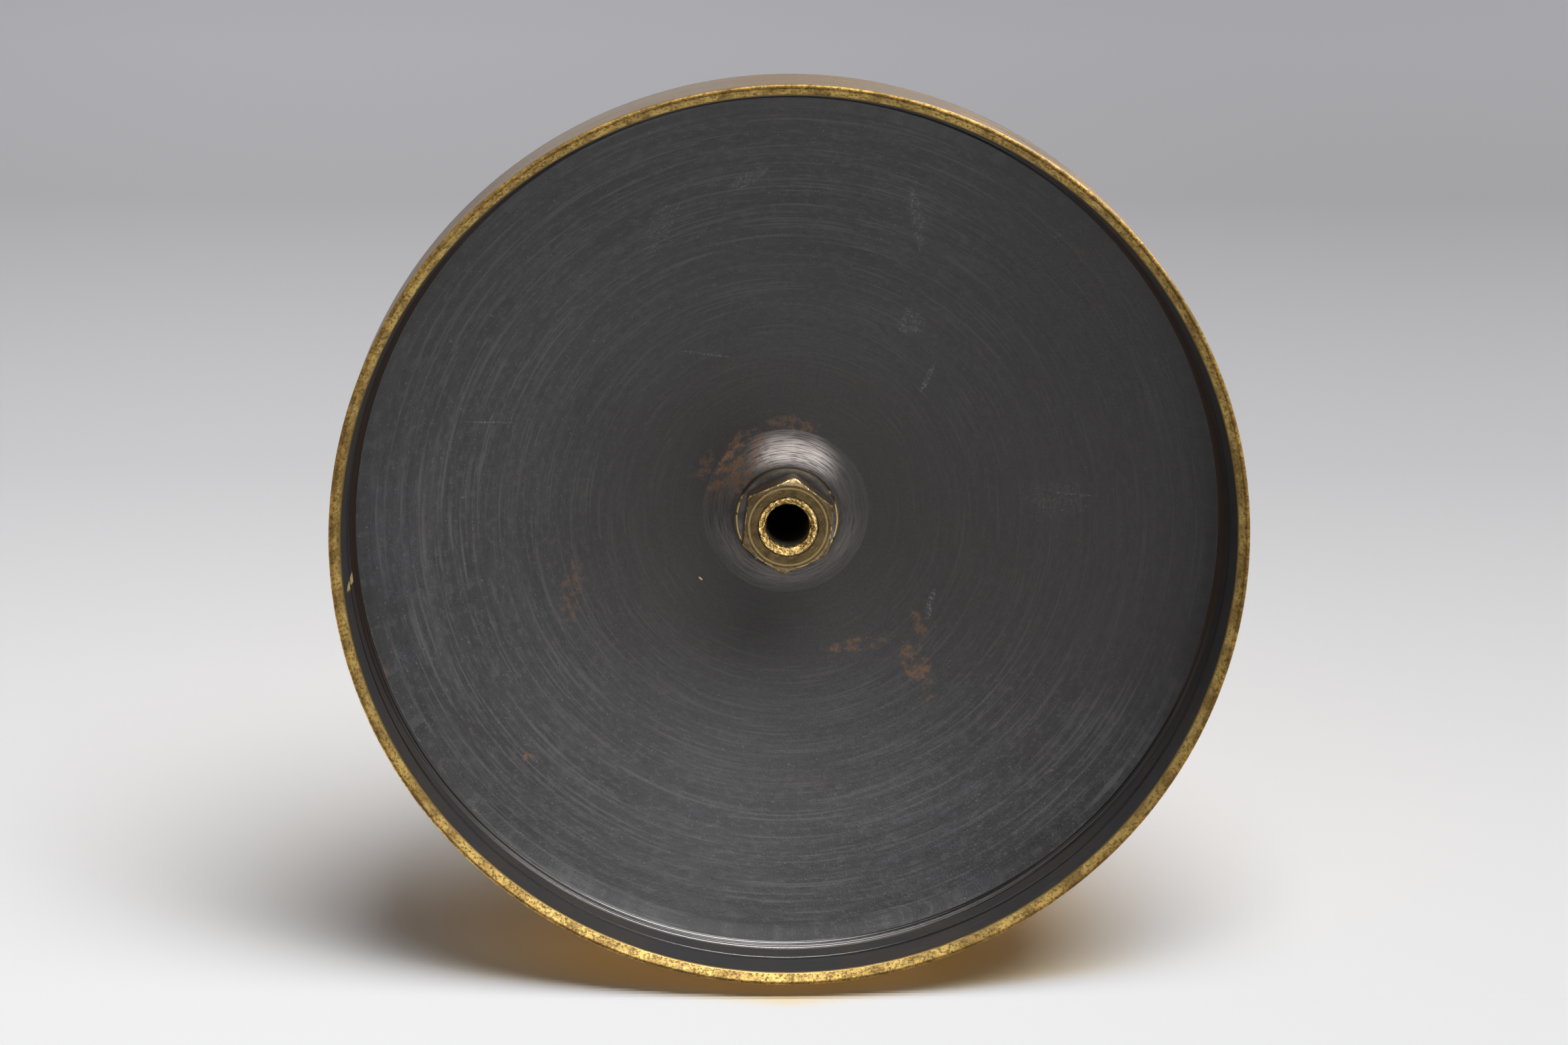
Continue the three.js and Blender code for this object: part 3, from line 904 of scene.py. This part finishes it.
def blackened_brass(name, boss=False):
    """The hollow: slate-dark tarnish over turned brass, with grain, faint streaks, rust and scratches.

    boss adds grey rubbed metal on the boss's upper flank, laid where the lamp's highlight falls, so partly a
    painted highlight, and the rust at its upper left.
    """
    mat, tree, shader = material(name)
    point = object_point(tree)
    x, y, z = split(tree, point)
    grain = noise(tree, point, 2300, 5, 0.7)
    mottle = ring_noise(tree, 1800, 30, 6, 0.66)
    coarse = noise(tree, point, 640, 6, 0.62)
    cloud = noise(tree, point, 38, 6, 0.62)
    brown_spots = noise(tree, point, 95, 5, 0.7)
    broad_streak = ring_noise(tree, 520, 2.2, 5, 0.6)
    streak = ring_noise(tree, 3300, 2.6, 5, 0.66)
    fine_streak = ring_noise(tree, 4200, 3, 4, 0.62)

    # Tarnish from broad to fine, with brown blotches. The darkening towards the boss and at the lower right
    # is painted shade.
    colour = layers(tree, (0.019, 0.017, 0.017),
                    (cloud, 0.35, 0.65, 1, (0.027, 0.026, 0.029)),
                    (broad_streak, 0.42, 0.64, 0.4, (0.052, 0.051, 0.053)),
                    (mottle, 0.50, 0.63, 0.6, (0.066, 0.064, 0.066)),
                    (mottle, 0.46, 0.34, 0.6, (0.007, 0.006, 0.006)),
                    (streak, 0.52, 0.66, 0.75, (0.088, 0.085, 0.084)),
                    (streak, 0.46, 0.32, 0.6, (0.008, 0.008, 0.009)),
                    (grain, 0.60, 0.66, 0.6, (0.19, 0.185, 0.18)),
                    # painted shade: darker and slightly browner towards the boss
                    (length_of(tree, x, y), 58 * MM, 14 * MM, 0.85, (0.008, 0.005, 0.003)))
    # Painted shade over the dish's right side
    painted_shade_right = product(tree, remap(tree, x, 12 * MM, 50 * MM), remap(tree, y, 50 * MM, 15 * MM), 0.65)
    colour = mix(tree, painted_shade_right, colour, (0.012, 0.008, 0.006))
    brown = product(tree, remap(tree, brown_spots, 0.60, 0.74), remap(tree, coarse, 0.4, 0.6), 0.35)
    colour = mix(tree, brown, colour, (0.085, 0.055, 0.035))

    broken = product(tree, remap(tree, coarse, 0.42, 0.58), remap(tree, mottle, 0.42, 0.56, 0.3, 1))
    colour = patches(tree, colour, RUST_STAINS, broken, RUST)
    colour = patches(tree, colour, SCUFFS, remap(tree, grain, 0.46, 0.62), (0.21, 0.205, 0.20))
    colour = patches(tree, colour, GOUGES, remap(tree, grain, 0.1, 0.2), (0.012, 0.011, 0.011))
    colour = patches(tree, colour, GOLD_NICKS, remap(tree, grain, 0.2, 0.4), (0.75, 0.55, 0.20))
    metallic = 0.0
    if boss:
        # Grey rubbed metal on the upper flank, placed and brightened where the lamp's highlight falls: real
        # wear and a painted highlight.
        off_middle = size_of(tree, difference(tree, x, 1.6 * MM))
        above = product(tree, remap(tree, y, -4 * MM, -10 * MM), remap(tree, off_middle, 9 * MM, 3 * MM))
        above = total(tree, above, remap(tree, y, 6 * MM, -2 * MM, 0.22, 0.08))
        worn_and_highlight = product(tree, remap(tree, z, 27.3 * MM, 24.8 * MM), above,
                       remap(tree, z, 22.6 * MM, 23.4 * MM, 0.35, 1))
        bare_metal_and_highlight = layers(tree, (0.76, 0.69, 0.65), (fine_streak, 0.54, 0.38, 0.85, (0.10, 0.083, 0.075)))
        colour = mix(tree, worn_and_highlight, colour, bare_metal_and_highlight)
        upper_left = product(tree, remap(tree, x, 1 * MM, -7 * MM), remap(tree, y, 0, -6 * MM))
        colour = mix(tree, product(tree, upper_left, broken, 0.85), colour, RUST)
        metallic = product(tree, worn_and_highlight, 0.85)
    coat(tree, shader, colour, remap(tree, grain, 0.3, 0.7, 0.56, 0.70), metallic)
    shader.inputs["IOR"].default_value = 1.7
    if not boss:
        turned = tree.nodes.new("ShaderNodeTangent")
        turned.direction_type = "RADIAL"
        turned.axis = "Z"
        fill(tree, shader, ("Tangent", turned.outputs[0]), ("Anisotropic", 0.7),
             ("Anisotropic Rotation", 0.25))
    bump(tree, shader, (streak, 0.08, 0.4), (fine_streak, 0.04, 0.4), (coarse, 0.10, 0.4),
         (mottle, 0.14, 0.5), (grain, 0.18, 0.7))
    return mat


def bare_wall():
    """The smooth dark wall above the foot ring, with fine turned lines and a brown tinge."""
    mat, tree, shader = material("dark_turned_wall")
    rings = ring_noise(tree, 7000, 8, 4, 0.6)
    cloud = noise(tree, object_point(tree), 60, 5, 0.6)
    colour = layers(tree, (0.052, 0.050, 0.052),
                    (cloud, 0.4, 0.65, 1, (0.070, 0.058, 0.048)),
                    (rings, 0.58, 0.74, 0.6, (0.15, 0.14, 0.135)))
    colour = patches(tree, colour, WALL_NICKS, remap(tree, cloud, 0.1, 0.2), (0.85, 0.66, 0.28))
    coat(tree, shader, colour, 0.3, 0.35)
    bump(tree, shader, (rings, 0.05, 0.4))
    return mat


def ribbed_fillet():
    """The fillet between the dish and the wall, with bright turned ribs that are browner and plainer at its
    sides, where painted shade covers them.
    """
    mat, tree, shader = material("ribbed_fillet")
    point = object_point(tree)
    rings = ring_noise(tree, 8000, 1.2, 3, 0.5)
    grain = noise(tree, point, 2300, 5, 0.7)
    colour = layers(tree, (0.050, 0.048, 0.048),
                    (rings, 0.40, 0.60, 1, (0.25, 0.237, 0.232)),
                    (grain, 0.6, 0.74, 0.5, (0.04, 0.038, 0.038)))
    _, y, _ = split(tree, point)
    # Painted shade: the ribs give way to a plain darker brown at the fillet's sides.
    painted_shade_beside = product(tree, remap(tree, y, 42 * MM, 8 * MM), remap(tree, y, -66 * MM, -40 * MM), 0.9)
    colour = mix(tree, painted_shade_beside, colour, (0.12, 0.08, 0.058))
    coat(tree, shader, colour, remap(tree, grain, 0.3, 0.7, 0.30, 0.44), 0.95)
    bump(tree, shader, (rings, 0.06, 0.5), (grain, 0.04, 0.3))
    return mat


def broken_brass(name, dark, bright, threshold, side_highlight=0.0):
    """A tarnished edge with its brass rubbed bright in places. side_highlight adds more bright brass far
    from x = 0, a painted highlight at the left and right.
    """
    mat, tree, shader = material(name)
    point = object_point(tree)
    x, _, _ = split(tree, point)
    blot = noise(tree, point, 700, 6, 0.68)
    # Painted highlight: more bright brass towards the left and right.
    side = remap(tree, size_of(tree, x), 6 * MM, 8.4 * MM, 0, side_highlight)
    rubbed = remap(tree, total(tree, blot, side), threshold, threshold + 0.08)
    coat(tree, shader, mix(tree, rubbed, dark, bright), remap(tree, rubbed, 0, 1, 0.5, 0.26), 0.9)
    bump(tree, shader, (blot, 0.12, 0.5))
    return mat


def fitting_brass(name, plain, stained, rubbed, metallic, rub=0.6, circle=None):
    """Tarnished brass of the nuts, washers and tube, with turned rings, stains and rubbed spots.

    circle is the radius of a rubbed line, where a nut's face meets its chamfer.
    """
    mat, tree, shader = material(name)
    point = object_point(tree)
    rings = ring_noise(tree, 7000, 7, 4, 0.6)
    blot = noise(tree, point, 520, 6, 0.65)
    speck = noise(tree, point, 3400, 3, 0.6)
    colour = layers(tree, plain,
                    (blot, 0.35, 0.65, 1, stained),
                    (rings, 0.55, 0.72, rub, rubbed),
                    (speck, 0.70, 0.78, rub, rubbed))
    if circle is not None:
        off_circle = size_of(tree, difference(tree, radius_from_axis(tree), circle))
        colour = layers(tree, colour, (off_circle, 0.22 * MM, 0.06 * MM, 0.8, rubbed))
    coat(tree, shader, colour, remap(tree, blot, 0.3, 0.7, 0.30, 0.5), metallic)
    bump(tree, shader, (rings, 0.05, 0.5), (blot, 0.06, 0.3))
    return mat


def torn_brass():
    """The filed, burred mouth of the tube: bright yellow with rough facets."""
    mat, tree, shader = material("torn_tube_brass")
    tear = noise(tree, object_point(tree), 900, 6, 0.7, distortion=1.5)
    rings = ring_noise(tree, 6000, 5, 4, 0.6)
    colour = layers(tree, (0.26, 0.155, 0.045), (tear, 0.40, 0.58, 1, (0.95, 0.68, 0.27)))
    coat(tree, shader, colour, remap(tree, tear, 0.3, 0.7, 0.42, 0.2), 1.0)
    bump(tree, shader, (tear, 0.35, 0.8), (rings, 0.10, 0.5))
    return mat


# The tube's bore, nearly black with a faint brown mottle: painted shade deep in the hole.
def shade_dark_bore():
    mat, tree, shader = material("dark_bore")
    bore_mottle = noise(tree, object_point(tree), 700, 4, 0.6)
    coat(tree, shader, mix(tree, bore_mottle, (0.012, 0.010, 0.008), (0.035, 0.026, 0.014)), 0.8)
    bump(tree, shader, (bore_mottle, 0.08, 0.4))
    return mat


def make_camera():
    axes = photo_axes()
    right, up, forward = (Vector([axis[i] for axis in axes]) for i in range(3))
    data = bpy.data.cameras.new("photo_camera")
    data.sensor_width = SENSOR_WIDTH
    data.lens = SENSOR_WIDTH * FOCAL_PIXELS / PHOTO_WIDTH
    data.clip_start = CLIP_START
    data.clip_end = CLIP_END
    camera = new_object("photo_camera", data)
    turn = Matrix((right, up, -forward)).transposed().to_4x4()
    camera.matrix_world = Matrix.Translation(camera_place(axes)) @ turn
    bpy.context.scene.camera = camera


def seen_from_front(tree, surface, amount=1.0):
    """Shows the surface on its front side, to camera and glossy rays only, by the amount."""
    path = tree.nodes.new("ShaderNodeLightPath")
    seen = math_node(tree, "MAXIMUM", path.outputs["Is Camera Ray"], path.outputs["Is Glossy Ray"])
    front = difference(tree, 1.0, tree.nodes.new("ShaderNodeNewGeometry").outputs["Backfacing"])
    blend = tree.nodes.new("ShaderNodeMixShader")
    clear = tree.nodes.new("ShaderNodeBsdfTransparent")
    fill(tree, blend, (0, product(tree, seen, amount, front)), (1, clear.outputs[0]), (2, surface))
    output = next(node for node in tree.nodes if node.type == "OUTPUT_MATERIAL")
    tree.links.new(blend.outputs[0], output.inputs["Surface"])


def stage_mesh(name, vertices, faces, mat):
    mesh = bpy.data.meshes.new(name)
    mesh.from_pydata(vertices, [], faces)
    mesh.materials.append(mat)
    thing = new_object(name, mesh)
    return thing


def table_material():
    """The table's grey, lighter to the camera, with a painted glow of gold light reflected from the brass
    beside the ring, and shaded like a level table.
    """
    mat, tree, shader = material("table_pale")
    x, _, z = split(tree, object_point(tree))
    length = TABLE_FAR_Z - TABLE_NEAR_Z
    ramp = tree.nodes.new("ShaderNodeValToRGB")
    along = math_node(tree, "DIVIDE", difference(tree, z, TABLE_NEAR_Z), length)
    tree.links.new(along, ramp.inputs[0])
    elements = ramp.color_ramp.elements
    for index, (level, colour) in enumerate(TABLE_COLOURS):
        place = (level * MM - TABLE_NEAR_Z) / length
        element = elements[index] if index < 2 else elements.new(place)
        element.position = place
        element.color = (*colour, 1)
    aside = size_of(tree, x)
    # Painted reflection: gold light from the brass beside the ring, fading further behind and aside
    behind = difference(tree, z, product(tree, aside, PAINTED_GLOW_CURVE))
    painted_glow = product(tree, remap(tree, behind, -4 * MM, 2 * MM), remap(tree, z, 70 * MM, 12 * MM),
                     remap(tree, aside, 70 * MM, 25 * MM), PAINTED_GLOW_SHARE)
    pale = mix(tree, painted_glow, ramp.outputs[0], PAINTED_GLOW_TINT)
    camera_ray = tree.nodes.new("ShaderNodeLightPath").outputs["Is Camera Ray"]
    shown = product(tree, camera_ray, remap(tree, x, -SHOWN_REACH, SHOWN_REACH, SHOWN_LEFT, SHOWN_RIGHT))
    scaled = tree.nodes.new("ShaderNodeVectorMath")
    scaled.operation = "SCALE"
    fill(tree, scaled, (0, pale), ("Scale", math_node(tree, "MAXIMUM", shown, 1.0)))
    coat(tree, shader, scaled.outputs[0], 0.6)
    level = tree.nodes.new("ShaderNodeCombineXYZ")
    level.inputs[1].default_value = -1.0
    tree.links.new(level.outputs[0], shader.inputs["Normal"])
    shader.inputs["Specular IOR Level"].default_value = 0.2
    seen_from_front(tree, shader.outputs[0])
    return mat


def make_table():
    """The pale table under the lying candlestick, in narrow steps that face the photo's camera."""
    slope = (FOOT_RADIUS - PAN_RADIUS) / (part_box("nozzle")[1][2] - BAND_HEIGHT)
    vertices, faces = [], []
    z = TABLE_NEAR_Z
    while z < TABLE_FAR_Z:
        foot = FOOT_RADIUS + TABLE_GAP - (z - BAND_HEIGHT) * slope
        head = foot - RISER_OVERLAP * TABLE_STEP
        first = len(vertices)
        vertices += [(-TABLE_HALF_WIDTH, foot, z), (-TABLE_HALF_WIDTH, head, z),
                     (TABLE_HALF_WIDTH, head, z), (TABLE_HALF_WIDTH, foot, z)]
        faces.append((first, first + 3, first + 2, first + 1))
        z += TABLE_STEP
    return stage_mesh("table", vertices, faces, table_material())


def make_floor():
    """The level floor that other views show the candlestick standing on, open under the base.

    It takes the object's shadow near by, and fades out into the room's grey further off.
    """
    mat, tree, shader = material("floor_pale")
    soft = noise(tree, object_point(tree), 3, 2)
    coat(tree, shader, mix(tree, soft, (0.80, 0.80, 0.81), (0.84, 0.84, 0.84)), 0.7)
    shader.inputs["Specular IOR Level"].default_value = 0.2
    near = remap(tree, radius_from_axis(tree), FLOOR_CLEAR_RADIUS, FLOOR_SOLID_RADIUS)
    seen_from_front(tree, shader.outputs[0], near)
    vertices, faces = [], []
    for radius in (FOOT_RADIUS - RING_WIDTH / 2, FLOOR_REACH):
        for k in range(FLOOR_SIDES):
            angle = 2 * math.pi * k / FLOOR_SIDES
            vertices.append((radius * math.cos(angle), radius * math.sin(angle), FLOOR_Z))
    for k in range(FLOOR_SIDES):
        n = (k + 1) % FLOOR_SIDES
        faces.append((k, FLOOR_SIDES + k, FLOOR_SIDES + n, n))
    return stage_mesh("floor", vertices, faces, mat)


def make_world():
    """Pale light from the room. The camera sees its grey, and glossy rays a part of it, by direction."""
    world = bpy.data.worlds.new("pale_room")
    world.use_nodes = True
    tree = world.node_tree
    tree.nodes.clear()
    output = tree.nodes.new("ShaderNodeOutputWorld")
    light = tree.nodes.new("ShaderNodeBackground")
    shown = tree.nodes.new("ShaderNodeBackground")
    blend = tree.nodes.new("ShaderNodeMixShader")
    path = tree.nodes.new("ShaderNodeLightPath")
    fill(tree, light, ("Color", ROOM_LIGHT), ("Strength", ROOM_LIGHT_STRENGTH))
    fill(tree, shown, ("Color", ROOM_GREY), ("Strength", 1.0))
    side, down, up = split(tree, tree.nodes.new("ShaderNodeTexCoord").outputs["Generated"])
    glossy = product(tree, path.outputs["Is Glossy Ray"], remap(tree, down, -0.1, 0.3, 0.35, 1),
                     remap(tree, side, -0.7, 0.5, 0.5, 1), remap(tree, up, -0.98, -0.7))
    seen = math_node(tree, "MAXIMUM", path.outputs["Is Camera Ray"], glossy)
    fill(tree, blend, (0, seen), (1, light.outputs[0]), (2, shown.outputs[0]))
    tree.links.new(blend.outputs[0], output.inputs["Surface"])
    bpy.context.scene.world = world


def make_lights():
    for name, place, aim, width, height, power in LAMPS:
        data = bpy.data.lights.new(name, "AREA")
        data.shape = "RECTANGLE"
        data.size = width
        data.size_y = height
        data.energy = power
        lamp = new_object(name, data)
        lamp.location = place
        lamp.rotation_euler = (Vector(aim) - Vector(place)).to_track_quat("-Z", "Y").to_euler()


def make_pieces():
    stem_brass = polished_brass("stem_polished_brass", (0.80, 0.58, 0.27), (0.66, 0.45, 0.19))
    band_brass = polished_brass("base_polished_brass", (0.86, 0.59, 0.31), (0.68, 0.44, 0.21))
    nozzle_brass = polished_brass("nozzle_polished_brass", (0.82, 0.60, 0.28), (0.70, 0.48, 0.20))
    dull = fitting_brass("fitting_dull_brass", (0.135, 0.092, 0.040), (0.072, 0.048, 0.022),
                         (0.36, 0.26, 0.11), 0.92, circle=6.5 * MM)
    flank = fitting_brass("nut_flank_brass", (0.34, 0.26, 0.18), (0.20, 0.145, 0.095),
                          (0.55, 0.44, 0.31), 1.0, rub=0.4)
    chamfer = fitting_brass("nut_chamfer_brass", (0.25, 0.18, 0.10), (0.14, 0.095, 0.045),
                            (0.62, 0.46, 0.28), 1.0)
    burr = fitting_brass("rubbed_edge_brass", (0.90, 0.64, 0.27), (0.55, 0.36, 0.13),
                         (1.0, 0.82, 0.5), 1.0)
    dark = fitting_brass("washer_dark_brass", (0.13, 0.12, 0.115), (0.070, 0.062, 0.056),
                         (0.24, 0.20, 0.15), 0.7, rub=0.5)
    nut_edge = broken_brass("nut_edge_brass", (0.16, 0.11, 0.05), (0.95, 0.70, 0.32), 0.47)
    washer_edge = broken_brass("washer_edge_brass", (0.075, 0.058, 0.035), (0.85, 0.60, 0.22), 0.60,
                               side_highlight=0.22)
    torn = torn_brass()
    base = revolve("turned_base", base_profile(), BASE_SEGMENTS)
    dress(base, "stand", "base", "base_brass", foot_brass(), blackened_brass("blackened_hollow"),
          band_brass, bare_wall(), blackened_brass("rubbed_and_highlit_boss", boss=True), ribbed_fillet(), burr)

    low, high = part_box("base_nut")
    nut = make_nut(low[2], high[2] - low[2])
    dress(nut, "stand", "base_nut", "fitting_brass", dull, chamfer, nut_edge, flank)
    low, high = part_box("base_washer")
    washer = revolve("thick_washer", washer_profile(low[2], high[2] - low[2]), FITTING_SEGMENTS)
    dress(washer, "stand", "base_washer", "fitting_brass", dark, washer_edge)
    low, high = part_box("tie_tube")
    tube = revolve("threaded_tube", tube_profile(low[2], high[2]), FITTING_SEGMENTS, torn_end(low[2]))
    dress(tube, "stand", "tie_tube", "fitting_brass", torn, dull, shade_dark_bore())

    def stem(node, profile):
        low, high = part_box(node)
        piece = revolve("turned_" + node, profile(low[2], high[2] - low[2]), STEM_SEGMENTS)
        dress(piece, "stand", node, "stem_brass", stem_brass)

    stem("stem_foot", stem_foot_profile)
    stem("lower_knop", lambda low, height: knop_profile(low, height, 17 * MM))
    stem("shaft", shaft_profile)
    stem("upper_knop", lambda low, height: knop_profile(low, height, 14.5 * MM))
    stem("socket", socket_profile)
    low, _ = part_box("nozzle")
    nozzle = revolve("turned_nozzle", nozzle_profile(low[2]), STEM_SEGMENTS)
    dress(nozzle, "nozzle", "nozzle", "nozzle_brass", nozzle_brass)
    for node in ("socket_washer", "socket_nut"):
        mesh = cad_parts[node].data
        mesh.materials.clear()
        mesh.materials.append(dull)


make_camera()
make_pieces()
make_table()
make_floor()
make_world()
make_lights()
bpy.context.scene.view_settings.view_transform = "Standard"
